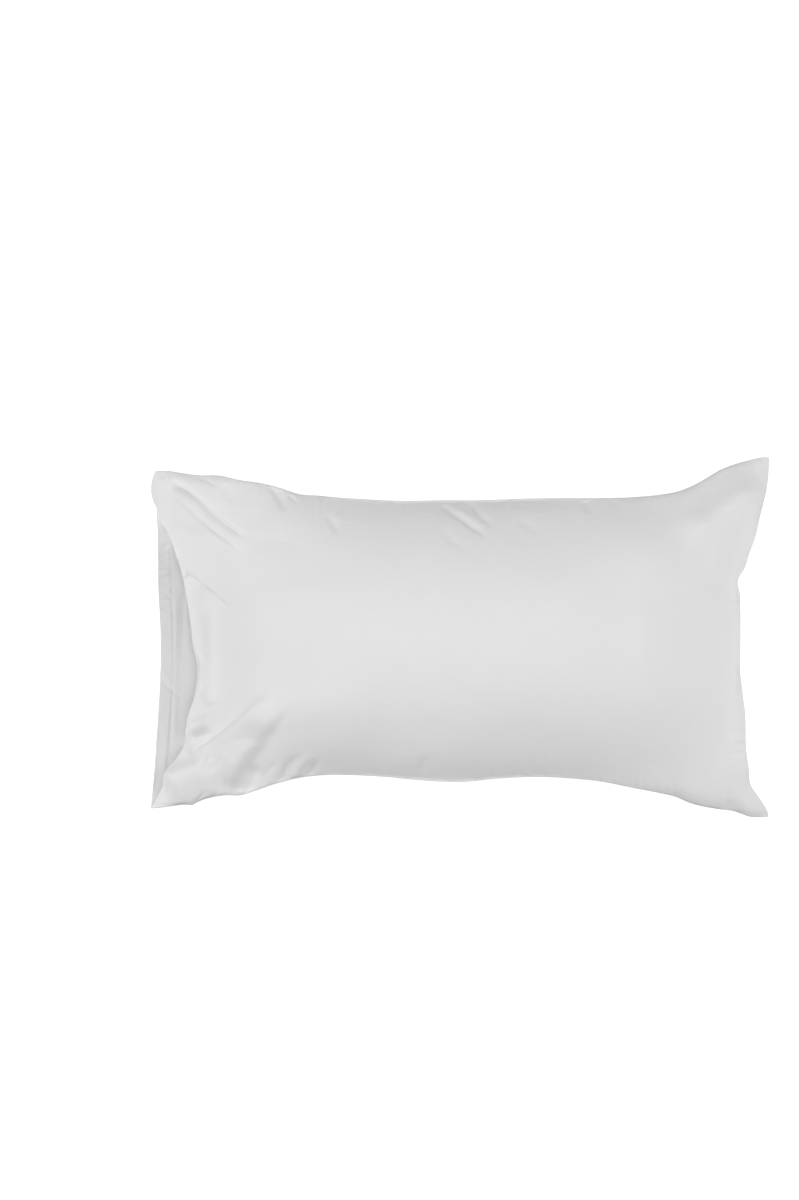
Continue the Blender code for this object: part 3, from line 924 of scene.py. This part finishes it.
def new_group(name: str, inputs: dict[str, float | None], outputs: tuple[str, ...]) -> Wiring:
    """Start a shader node group.

    Args:
        name: The group's name.
        inputs: Each input's name with its default, or None for a vector.
        outputs: The names of its value outputs.

    Returns:
        The wiring of the empty group, with its sockets made.
    """
    group = bpy.data.node_groups.new(name, "ShaderNodeTree")
    for label, default in inputs.items():
        kind = "NodeSocketVector" if default is None else "NodeSocketFloat"
        socket = group.interface.new_socket(name=label, in_out="INPUT", socket_type=kind)
        if default is not None:
            socket.default_value = default
    for label in outputs:
        group.interface.new_socket(name=label, in_out="OUTPUT", socket_type="NodeSocketFloat")
    return Wiring(group)


def new_material(name: str) -> tuple[bpy.types.Material, Wiring, bpy.types.Node]:
    """A new material, the wiring of its tree and its Principled shader."""
    material = bpy.data.materials.new(name)
    material.use_nodes = True
    return material, Wiring(material.node_tree), material.node_tree.nodes["Principled BSDF"]


def weave_group() -> bpy.types.NodeTree:
    """Plain weave: threads that pass over and under one another, with uneven thicker ones.

    Returns:
        The group, whose vector is a place on the flat cloth in metres.
    """
    rib_height, crossing_height, slub_tone = 0.35, 0.3, 0.5
    slub_fine, slub_long = 1800, 40
    sizes = {"Vector": None, "Thread Spacing": 0.0004, "Slub Amount": 0.4}
    w = new_group("plain_weave", sizes, ("Height", "Tone"))
    given = w.node("NodeGroupInput").outputs
    split = w.node("ShaderNodeSeparateXYZ", {0: given["Vector"]}).outputs
    turns = w.math("DIVIDE", np.pi, given["Thread Spacing"])
    sin_x, sin_y = (w.math("SINE", w.math("MULTIPLY", split[axis], turns)) for axis in "XY")
    over = w.math("MULTIPLY", sin_x, sin_y)
    ribs = w.math("ADD", w.math("ABSOLUTE", sin_x), w.math("ABSOLUTE", sin_y))
    ribs = w.math("MULTIPLY", ribs, rib_height)
    slub_x = w.noise(given["Vector"], (slub_fine, slub_long, 1))
    slub_y = w.noise(given["Vector"], (slub_long, slub_fine, 1))
    slubs = w.math("SUBTRACT", w.math("ADD", slub_x, slub_y), 1.0)
    slubs = w.math("MULTIPLY", slubs, given["Slub Amount"])
    height = w.math("ADD", w.math("MULTIPLY_ADD", over, crossing_height, ribs), slubs)
    tone = w.math("ADD", w.math("MULTIPLY", slubs, slub_tone), 0.5)
    w.node("NodeGroupOutput", {"Height": height, "Tone": tone})
    return w.tree


def crumple_group() -> bpy.types.NodeTree:
    """The soft unevenness of washed cotton: low waves and faint finer creasing.

    Returns:
        The group, whose vector is a place on the flat cloth in metres.
    """
    w = new_group("soft_crumple", {"Vector": None, "Fine Amount": 0.25}, ("Height", "Tone"))
    given = w.node("NodeGroupInput").outputs
    broad = w.noise(given["Vector"], (16, 22, 1), turn=0.5, rough=0.45)
    fine = w.noise(given["Vector"], (60, 120, 1), turn=-0.6, detail=3.0)
    fine = w.math("MULTIPLY", fine, given["Fine Amount"])
    tone = w.noise(given["Vector"], (9, 13, 1))
    w.node("NodeGroupOutput", {"Height": w.math("ADD", broad, fine), "Tone": tone})
    return w.tree


@dataclass(frozen=True)
class CottonFinish:
    """Plain close-woven cotton: matt, with a faint sheen."""

    name: str
    colour: Triple
    shade: Triple
    roughness: float = 0.83
    weave_roughness: float = 0.06
    specular: float = 0.3
    sheen: float = 0.12
    sheen_roughness: float = 0.5
    thread_spacing: float = 0.0004
    weave_depth: float = 0.00004
    crumple_depth: float = 0.0012

    def make(self, weave: bpy.types.NodeTree, crumple: bpy.types.NodeTree) -> bpy.types.Material:
        """Build the material.

        Args:
            weave: The group that gives the weave's height and tone.
            crumple: The group that gives the soft unevenness.

        Returns:
            A material whose patterns follow the cloth's own UV map.
        """
        material, w, shader = new_material(self.name)
        place = w.node("ShaderNodeUVMap", uv_map=UV_MAP).outputs["UV"]
        sizes = {"Vector": place, "Thread Spacing": self.thread_spacing}
        threads = w.node("ShaderNodeGroup", sizes, node_tree=weave).outputs
        waves = w.node("ShaderNodeGroup", {"Vector": place}, node_tree=crumple).outputs
        both = w.math("MULTIPLY_ADD", threads["Tone"], 0.5, w.math("MULTIPLY", waves["Tone"], 0.5))
        rough = w.math("MULTIPLY_ADD", threads["Tone"], self.weave_roughness, self.roughness)
        soft = w.bump(waves["Height"], self.crumple_depth)
        w.feed(shader, {
            "Base Color": w.blend(both, self.shade, self.colour),
            "Roughness": rough,
            "Normal": w.bump(threads["Height"], self.weave_depth, soft),
            "Metallic": 0.0,
            "Specular IOR Level": self.specular,
            "Sheen Weight": self.sheen,
            "Sheen Roughness": self.sheen_roughness,
        })
        return material


@dataclass(frozen=True)
class ThreadFinish:
    """Twisted cotton sewing thread."""

    name: str
    colour: Triple
    shade: Triple
    roughness: float = 0.6
    twist_roughness: float = 0.15
    sheen: float = 0.1
    twist_scale: float = 2600
    twist_depth: float = 0.00004

    def make(self) -> bpy.types.Material:
        """Build the material.

        Returns:
            A material whose twist follows the object's own space.
        """
        material, w, shader = new_material(self.name)
        place = w.node("ShaderNodeTexCoord").outputs["Object"]
        twist = w.noise(place, (self.twist_scale,) * 3, detail=1.0)
        w.feed(shader, {
            "Base Color": w.blend(twist, self.shade, self.colour),
            "Roughness": w.math("MULTIPLY_ADD", twist, self.twist_roughness, self.roughness),
            "Normal": w.bump(twist, self.twist_depth),
            "Sheen Weight": self.sheen,
        })
        return material


# ------------------------------------------------------------------------------------ the pieces
@dataclass
class FaceCloth:
    """The face with its turned-in mouth edge, drawn over the pillow."""

    form: CaseForm
    columns: int = 361
    rows: int = 213
    back_stride: int = 2
    mouth_crowding: float = 1.9
    mouth_zone: float = 0.25
    mouth_zone_blend: float = 0.02
    seam_crowding: float = 0.5
    seam_zone: float = 0.12
    sim_columns: int = 97
    sim_rows: int = 57
    sim_quality: int = 6
    cloth_mass: float = 0.3
    bending: float = 0.4
    pressure: float = 4.0
    frames: int = 20
    most_move: float = 0.006
    smoothing: int = 3
    crease_margin: float = 0.007
    least_loft: float = 0.0008
    seam_line: float = 0.004
    seam_line_width: float = 0.0011
    seam_line_depth: float = 0.0005
    seam_line_wave: float = 0.06
    pucker: float = 0.0011
    pucker_start: float = 0.006
    pucker_reach: float = 0.020
    pucker_wave: float = 0.017
    pucker_bunch: float = 0.11
    seam_seeds: tuple[int, int, int] = (11, 23, 37)
    fill: float = 0.75

    def mouth_density(self, s: np.ndarray) -> np.ndarray:
        """Finer columns from the mouth to the end of its zone."""
        past = np.exp((s - self.mouth_zone) / self.mouth_zone_blend)
        return 1 + self.mouth_crowding / (1 + past)

    def swell(self) -> np.ndarray:
        """How the pillow's push moves the cloth, from a cloth simulation on a coarser grid.

        Returns:
            Moves in metres on an even grid of sim_rows by sim_columns.
        """
        u, v = np.linspace(0, 1, self.sim_columns), np.linspace(0, 1, self.sim_rows)
        upper, lower = self.form.face(u, v)
        piece = ClosedCloth("swelling", upper, lower, cloth_metres(upper), rings=1).build()
        count = upper.shape[0] * upper.shape[1]
        free = np.zeros(upper.shape[:2], bool)
        free[1:-1, 1:-1] = True
        held = np.flatnonzero(~free.ravel()).tolist()
        held += list(range(count, len(piece.data.vertices)))
        piece.vertex_groups.new(name="held").add(held, 1.0, "REPLACE")
        cloth = piece.modifiers.new("swell", "CLOTH")
        settings = {
            "quality": self.sim_quality,
            "mass": self.cloth_mass,
            "bending_stiffness": self.bending,
            "use_pressure": True,
            "uniform_pressure_force": self.pressure,
            "vertex_group_mass": "held",
        }
        for key, value in settings.items():
            setattr(cloth.settings, key, value)
        cloth.settings.effector_weights.gravity = 0
        cloth.point_cache.frame_start = 1
        cloth.point_cache.frame_end = self.frames
        for step in range(1, self.frames + 1):
            bpy.context.scene.frame_set(step)
        swollen = piece.evaluated_get(bpy.context.evaluated_depsgraph_get())
        mesh = swollen.to_mesh()
        places = np.empty(len(mesh.vertices) * 3)
        mesh.vertices.foreach_get("co", places)
        swollen.to_mesh_clear()
        bpy.data.objects.remove(piece)
        bpy.context.scene.frame_set(1)
        move = places.reshape(-1, 3)[:count].reshape(upper.shape) - upper
        size = np.linalg.norm(move, axis=2, keepdims=True)
        log.info("swelling: most %.1f mm", size.max() / MM)
        return self.smoothed(move * np.minimum(1, self.most_move / np.maximum(size, TINY)))

    def smoothed(self, move: np.ndarray) -> np.ndarray:
        """Even out the coarse grid's smallest wrinkles.

        Args:
            move: Moves in metres, rows by columns; changed in place.

        Returns:
            The same moves, blended with their four neighbours', and still at the seams.
        """
        for _ in range(self.smoothing):
            around = move[:-2, 1:-1] + move[2:, 1:-1] + move[1:-1, :-2] + move[1:-1, 2:]
            move[1:-1, 1:-1] = 0.5 * move[1:-1, 1:-1] + 0.125 * around
        return move

    def build(self) -> bpy.types.Object:
        """Make the padded body: crown, swelling, creases, seam line and puckers.

        Returns:
            The finished mesh object.
        """
        u = crowded_shares(self.columns, self.mouth_density)
        v = crowded_shares(self.rows, beside_ends(self.seam_crowding, self.seam_zone))
        upper, lower = self.form.face(u, v)
        normals = grid_normals(upper)
        across = spline_weights(self.sim_rows, v)
        along = spline_weights(self.sim_columns, u)
        upper += np.einsum("ij,jkc,lk->ilc", across, self.swell(), along)
        from_near, from_far = run_lengths(upper, 0), run_lengths(upper[::-1], 0)[::-1]
        from_end = run_lengths(upper[:, ::-1], 1)[:, ::-1]
        edge = np.minimum(np.minimum(from_near, from_far), from_end)
        depth = crease_depth(FACE_CREASES, upper) * fade(edge / self.crease_margin)
        depth += self.seam_marks(upper, (from_near, from_far, from_end))
        upper -= normals * depth[..., None]
        pressed = np.minimum(lower[..., 2], upper[..., 2] - self.form.turned_edge)
        lower[..., 2] = np.maximum(pressed, self.form.on_back(u, v)[..., 2])
        lower = lower[:: self.back_stride, :: self.back_stride]
        floor = self.floor_of(lower, upper) + self.least_loft
        upper[..., 2] = np.maximum(upper[..., 2], floor)
        uv = cloth_metres(upper)
        return ClosedCloth("face_cloth", upper, lower, uv, stride=self.back_stride).build()

    def seam_marks(self, upper: np.ndarray, distances: tuple[np.ndarray, ...]) -> np.ndarray:
        """Depth of the puckers, and of the line where the seams' allowance shows through.

        Args:
            upper: The face's points.
            distances: How far each is over the cloth from the near side's seam, from the far
                side's and from the closed end's.

        Returns:
            The depth in metres at each point.
        """
        depth = np.zeros(upper.shape[:2])
        for distance, axis, seed in zip(distances, (0, 0, 1), self.seam_seeds):
            place = upper[..., axis]
            line = np.exp(-(((distance - self.seam_line) / self.seam_line_width) ** 2))
            uneven = 0.6 + 0.4 * wander(place, self.seam_line_wave, seed)
            depth += self.seam_line_depth * line * uneven
            bunch = fade(0.5 + 0.6 * wander(place, self.pucker_bunch, seed + 2))
            gather = wander(place, self.pucker_wave, seed + 1) * bunch
            rise = fade(distance / self.pucker_start) * np.exp(-distance / self.pucker_reach)
            depth += self.pucker * gather * rise
        return depth

    @staticmethod
    def floor_of(lower: np.ndarray, upper: np.ndarray) -> np.ndarray:
        """How high the inner side lies under the finer outer grid.

        Args:
            lower: The inner side's points.
            upper: The outer side's points.

        Returns:
            The height in metres under each outer point.
        """
        rows = spline_weights(lower.shape[0], np.linspace(0, 1, upper.shape[0]))
        columns = spline_weights(lower.shape[1], np.linspace(0, 1, upper.shape[1]))
        return rows @ lower[..., 2] @ columns.T

    def dress(self, piece: bpy.types.Object, finish: bpy.types.Material) -> None:
        """Give the cloth its finish, hang it on the root body and hide the CAD front panel.

        Args:
            piece: The finished cloth.
            finish: Its material.
        """
        piece.data.materials.append(finish)
        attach(piece, BODY)
        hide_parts("front_panel")


@dataclass
class BackCloth:
    """The back panel, seam to seam under the pillow, with its mouth strip and stitched hem."""

    form: CaseForm
    flat_width: float = 0.50
    flat_length: float = 0.93
    hem_width: float = 0.016
    hem_extra: float = 0.0004
    hem_step: float = 0.0008
    hem_curl: float = 1.9
    hem_cells: int = 9
    strip_cells: int = 12
    columns: int = 91
    rows: int = 301
    seam_crowding: float = 0.5
    seam_zone: float = 0.05
    mouth_crowding: float = 0.8
    mouth_zone: float = 0.06
    most_hem_share: float = 0.7
    least_step_share: float = 0.1
    least_strip: float = 3.0
    least_width: float = 0.0001
    stitch_inset: float = 0.0017
    stitch_rise: float = 0.0001
    least_sewn_share: float = 0.2
    least_sewn_width: float = 0.006
    pucker: float = 0.0005
    pucker_wave: float = 0.011
    pucker_seed: int = 5
    pucker_columns: float = 2.5
    pucker_from: float = -0.03
    pucker_rise: float = 0.10
    least_pucker: float = 0.35
    wave_room: float = 0.0012
    wave_columns: int = 8
    fade_columns: float = 10.0
    narrow_width: float = 0.012

    def strip_shares(self, width: np.ndarray) -> tuple[np.ndarray, np.ndarray]:
        """Places of the strip's columns, from the hem's edge to the turned edge's line.

        Args:
            width: The strip's width at each row, in metres.

        Returns:
            The shares, rows by columns, and the hem's share of each row.
        """
        hem = np.minimum(self.hem_width / width, self.most_hem_share)
        most_step = self.most_hem_share + self.least_step_share
        step = np.minimum((self.hem_width + self.hem_step) / width, most_step)
        inside = np.linspace(0, 1, self.hem_cells + 1)[None] * hem[:, None]
        rest = np.linspace(0, 1, self.strip_cells + 1)[None, :-1]
        rest = step[:, None] + rest * (1 - step[:, None])
        return np.concatenate([inside, rest], axis=1), hem

    def build(self) -> tuple[bpy.types.Object, list[np.ndarray]]:
        """Make the sheet.

        Returns:
            The finished mesh object, and the paths of the hem's two lines of stitches.
        """
        v = crowded_shares(self.rows, beside_ends(self.seam_crowding, self.seam_zone))
        u = crowded_shares(
            self.columns, lambda s: 1 + self.mouth_crowding * np.exp(-s / self.mouth_zone)
        )
        under = self.form.back(u, v, least_strip=self.least_strip)
        hem_line = smooth_edge(HEM_EDGE, v)
        width = np.linalg.norm(under[:, 0, :2] - hem_line[:, :2], axis=1)
        shares, hem = self.strip_shares(np.maximum(width, self.least_width))
        strip = hem_line[:, None] * (1 - shares[..., None]) + under[:, :1] * shares[..., None]
        curl = (1 - shares) ** self.hem_curl
        strip[..., 2] = under[:, :1, 2] + (hem_line[:, None, 2] - under[:, :1, 2]) * curl
        strip[..., 2] = np.maximum(strip[..., 2], 0)
        lower = np.concatenate([strip, under], axis=1)
        thickness = np.full(lower.shape[:2], self.form.cloth)
        thickness[:, : self.hem_cells + 1] += self.hem_extra
        lower[..., 2] += self.strip_waves(lower, strip.shape[1], width)
        normals = grid_normals(lower)
        upper = lower + normals * thickness[..., None]
        sheet = ClosedCloth("back_cloth", upper, lower, cloth_metres(upper)).build()
        rise = normals * self.stitch_rise
        place = hem - self.stitch_inset / np.maximum(width, self.least_width)
        sewn = (place > self.least_sewn_share * hem) & (width > self.least_sewn_width)
        at = place * self.hem_cells / np.maximum(hem, TINY)
        paths = [self.stitch_path(upper, rise, at)[sewn], self.stitch_path(lower, -rise, at)[sewn]]
        return sheet, paths

    def stitch_path(self, grid: np.ndarray, rise: np.ndarray, at: np.ndarray) -> np.ndarray:
        """A line of stitches over one side of the hem.

        Args:
            grid: The points of that side.
            rise: How the stitches stand off each of them.
            at: Which column the line is at in each row, between two as a rule.

        Returns:
            The line's point in each row.
        """
        row = np.arange(len(grid))
        cell = np.clip(at.astype(int), 0, self.hem_cells - 1)
        t = (at - cell)[:, None]
        return grid[row, cell] * (1 - t) + grid[row, cell + 1] * t + rise[row, cell]

    def strip_waves(self, lower: np.ndarray, strip_columns: int, width: np.ndarray) -> np.ndarray:
        """How far the mouth strip lifts off in small puckers and soft creases.

        Args:
            lower: The sheet's lower points.
            strip_columns: How many of its columns are the strip.
            width: The strip's width at each row.

        Returns:
            The lift in metres, never below the surface that the sheet lies on.
        """
        column = np.arange(lower.shape[1])
        fading = fade((strip_columns + self.wave_columns - column) / self.fade_columns)[None]
        fading = fading * fade(width / self.narrow_width)[:, None]
        hem_part = np.exp(-np.maximum(column - self.hem_cells, 0) / self.pucker_columns)[None]
        place = lower[..., 1]
        far_part = fade((place - self.pucker_from) / self.pucker_rise)
        far_part = self.least_pucker + (1 - self.least_pucker) * far_part
        gather = 0.5 + 0.5 * wander(place, self.pucker_wave, self.pucker_seed)
        lift = self.pucker * gather * hem_part * far_part * fading
        lift += (self.wave_room - crease_depth(STRIP_CREASES, lower)) * fading
        return np.maximum(lift, 0)

    def dress(
        self, piece: bpy.types.Object, finish: bpy.types.Material, stitches: bpy.types.Object
    ) -> None:
        """Give the sheet its finish and tell the frame what it is.

        Args:
            piece: The finished sheet.
            finish: Its material.
            stitches: Not used.
        """
        piece.data.materials.append(finish)
        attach(piece, BODY)
        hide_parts("back_panel")


@dataclass
class HemStitches:
    """Two lines of lockstitch along the hem, one on each side of the cloth."""

    spacing: float = 0.0028
    length: float = 0.0023
    radius: float = 0.00022
    turn: float = 0.09
    seed: int = 4
    segments: int = 6
    rings: int = 5

    def tree(self, material: bpy.types.Material) -> bpy.types.NodeTree:
        """The node tree that lays one stitch after another along a curve.

        Args:
            material: The thread's finish.

        Returns:
            A geometry node group with named sizes.
        """
        group = bpy.data.node_groups.new("stitch_line", "GeometryNodeTree")
        face = group.interface
        face.new_socket(name="Path", in_out="INPUT", socket_type="NodeSocketGeometry")
        for label in ("Spacing", "Stitch Length", "Thread Radius", "Turn"):
            face.new_socket(name=label, in_out="INPUT", socket_type="NodeSocketFloat")
        face.new_socket(name="Seed", in_out="INPUT", socket_type="NodeSocketInt")
        face.new_socket(name="Stitches", in_out="OUTPUT", socket_type="NodeSocketGeometry")
        w = Wiring(group)
        given = w.node("NodeGroupInput").outputs
        path = {"Curve": given["Path"], "Length": given["Spacing"]}
        line = w.node("GeometryNodeCurveToPoints", path, mode="LENGTH").outputs
        ball = {"Segments": self.segments, "Rings": self.rings, "Radius": 1.0}
        ball = w.node("GeometryNodeMeshUVSphere", ball).outputs["Mesh"]
        radius, half = given["Thread Radius"], w.math("MULTIPLY", given["Stitch Length"], 0.5)
        size = w.node("ShaderNodeCombineXYZ", {"X": radius, "Y": radius, "Z": half}).outputs[0]
        stitch = w.node("GeometryNodeTransform", {"Geometry": ball, "Scale": size}).outputs[0]
        most = given["Turn"]
        spread = {2: w.math("MULTIPLY", most, -1.0), 3: most, "Seed": given["Seed"]}
        stray = w.node("FunctionNodeRandomValue", spread, data_type="FLOAT").outputs[1]
        angle = w.node("ShaderNodeCombineXYZ", {"X": stray, "Y": stray}).outputs[0]
        turned = {0: line["Rotation"], 1: angle}
        turned = w.node("FunctionNodeRotateRotation", turned, rotation_space="LOCAL").outputs[0]
        laid = {"Points": line["Points"], "Instance": stitch, "Rotation": turned}
        laid = w.node("GeometryNodeInstanceOnPoints", laid).outputs[0]
        real = w.node("GeometryNodeRealizeInstances", {"Geometry": laid}).outputs[0]
        finished = {"Geometry": real, "Material": material}
        finished = w.node("GeometryNodeSetMaterial", finished).outputs[0]
        w.node("NodeGroupOutput", {"Stitches": finished})
        return group

    def build(self, paths: list[np.ndarray], material: bpy.types.Material) -> bpy.types.Object:
        """Sew the lines.

        Args:
            paths: The points that each line follows.
            material: The thread's finish.

        Returns:
            One plain mesh object with every stitch.
        """
        curve = bpy.data.curves.new("hem_lines", "CURVE")
        curve.dimensions = "3D"
        for path in paths:
            spline = curve.splines.new("POLY")
            spline.points.add(len(path) - 1)
            for point, place in zip(spline.points, path):
                point.co = (*place, 1.0)
        guide = link("hem_lines", curve)
        group = self.tree(material)
        sewing = guide.modifiers.new("sewing", "NODES")
        sewing.node_group = group
        sizes = {
            "Spacing": self.spacing,
            "Stitch Length": self.length,
            "Thread Radius": self.radius,
            "Turn": self.turn,
            "Seed": self.seed,
        }
        for item in group.interface.items_tree:
            if item.item_type == "SOCKET" and item.in_out == "INPUT" and item.name in sizes:
                sewing[item.identifier] = sizes[item.name]
        graph = bpy.context.evaluated_depsgraph_get()
        mesh = bpy.data.meshes.new_from_object(guide.evaluated_get(graph), depsgraph=graph)
        guide.modifiers.clear()
        bpy.data.objects.remove(guide)
        mesh.name = "hem_stitches"
        mesh.shade_smooth()
        return link("hem_stitches", mesh)

    def dress(self, piece: bpy.types.Object) -> None:
        """Hang the stitches on the root body."""
        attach(piece, BODY)


# ------------------------------------------------------------------------------------ the studio
@dataclass(frozen=True)
class Softbox:
    """One large plain studio light."""

    name: str
    place: Triple
    size: tuple[float, float]
    power: float

    def build(self, target: Vector) -> None:
        """Hang the light and turn it to face a point.

        Args:
            target: The point that it faces.
        """
        light = bpy.data.lights.new(self.name, "AREA")
        light.shape = "RECTANGLE"
        light.size, light.size_y = self.size
        light.energy = self.power
        lamp = link(self.name, light)
        lamp.location = self.place
        lamp.rotation_euler = (target - Vector(self.place)).to_track_quat("-Z", "Y").to_euler()
        lamp.visible_camera = False


@dataclass(frozen=True)
class Studio:
    """A plain pale floor, soft light and a camera straight above."""

    distance: float = 16.0
    sensor: float = 36.0
    clip_end: float = 100.0
    view_height: float = 1.662
    view_level: float = 0.06
    centre: tuple[float, float] = (-0.0838, 0.0518)
    floor_size: float = 14.0
    floor_colour: Triple = (0.95, 0.95, 0.95)
    floor_roughness: float = 0.9
    floor_glow: float = 0.7
    world_light: float = 0.225
    target: Triple = (0.0, 0.0, 0.08)
    boxes: tuple[Softbox, ...] = (
        Softbox("left_softbox", (-2.4, 0.1, 1.9), (1.6, 2.2), 57.0),
        Softbox("right_softbox", (2.6, 0.0, 2.0), (1.6, 2.2), 58.5),
        Softbox("far_softbox", (0.0, 2.4, 2.2), (2.4, 1.6), 10.5),
        Softbox("near_softbox", (0.0, -2.4, 2.2), (2.4, 1.6), 9.0),
    )

    def build(self) -> None:
        """Set up the floor, the lights, the world and the camera."""
        scene = bpy.context.scene
        scene.view_settings.view_transform = "Standard"
        self.floor()
        for box in self.boxes:
            box.build(Vector(self.target))
        world = bpy.data.worlds.new("studio")
        world.use_nodes = True
        sky = world.node_tree.nodes["Background"]
        Wiring(world.node_tree).feed(sky, {"Color": (1, 1, 1, 1), "Strength": self.world_light})
        scene.world = world
        lens = bpy.data.cameras.new("camera")
        lens.sensor_width = self.sensor
        lens.lens = self.sensor * self.distance / self.view_height
        lens.clip_end = self.clip_end
        camera = link("camera", lens)
        camera.location = (*self.centre, self.view_level + self.distance)
        scene.camera = camera

    def floor(self) -> None:
        """Lay the floor: matt, near white and evenly lit."""
        half = self.floor_size / 2
        corners = [(-half, -half, 0), (half, -half, 0), (half, half, 0), (-half, half, 0)]
        mesh = bpy.data.meshes.new("floor")
        mesh.from_pydata(corners, [], [(0, 1, 2, 3)])
        material, w, shader = new_material("floor_paper")
        w.feed(shader, {
            "Base Color": (*self.floor_colour, 1),
            "Roughness": self.floor_roughness,
            "Specular IOR Level": 0.0,
            "Emission Color": (1, 1, 1, 1),
            "Emission Strength": self.floor_glow,
        })
        mesh.materials.append(material)
        ground = link("floor", mesh)
        ground.visible_diffuse = False


def main() -> None:
    """Make the studio, then the pieces in order, and report each."""
    logging.basicConfig(level=logging.INFO, format="%(name)s: %(message)s")
    Studio().build()
    weave, crumple = weave_group(), crumple_group()
    face_finish = CottonFinish("face_cotton", (0.80, 0.80, 0.805), (0.765, 0.765, 0.77))
    back_finish = CottonFinish("back_cotton", (0.79, 0.79, 0.795), (0.755, 0.755, 0.76))
    thread = ThreadFinish("sewing_thread", (0.8, 0.8, 0.8), (0.66, 0.66, 0.67))
    form = CaseForm()
    face_maker, back_maker, sewing = FaceCloth(form), BackCloth(form), HemStitches()
    face = face_maker.build()
    face_maker.dress(face, face_finish.make(weave, crumple))
    back, paths = back_maker.build()
    stitches = sewing.build(paths, thread.make())
    sewing.dress(stitches)
    back_maker.dress(back, back_finish.make(weave, crumple), stitches)
    for piece in (face, back, stitches):
        log.info("%s: %d faces", piece.name, len(piece.data.polygons))


if __name__ == "__main__":
    main()
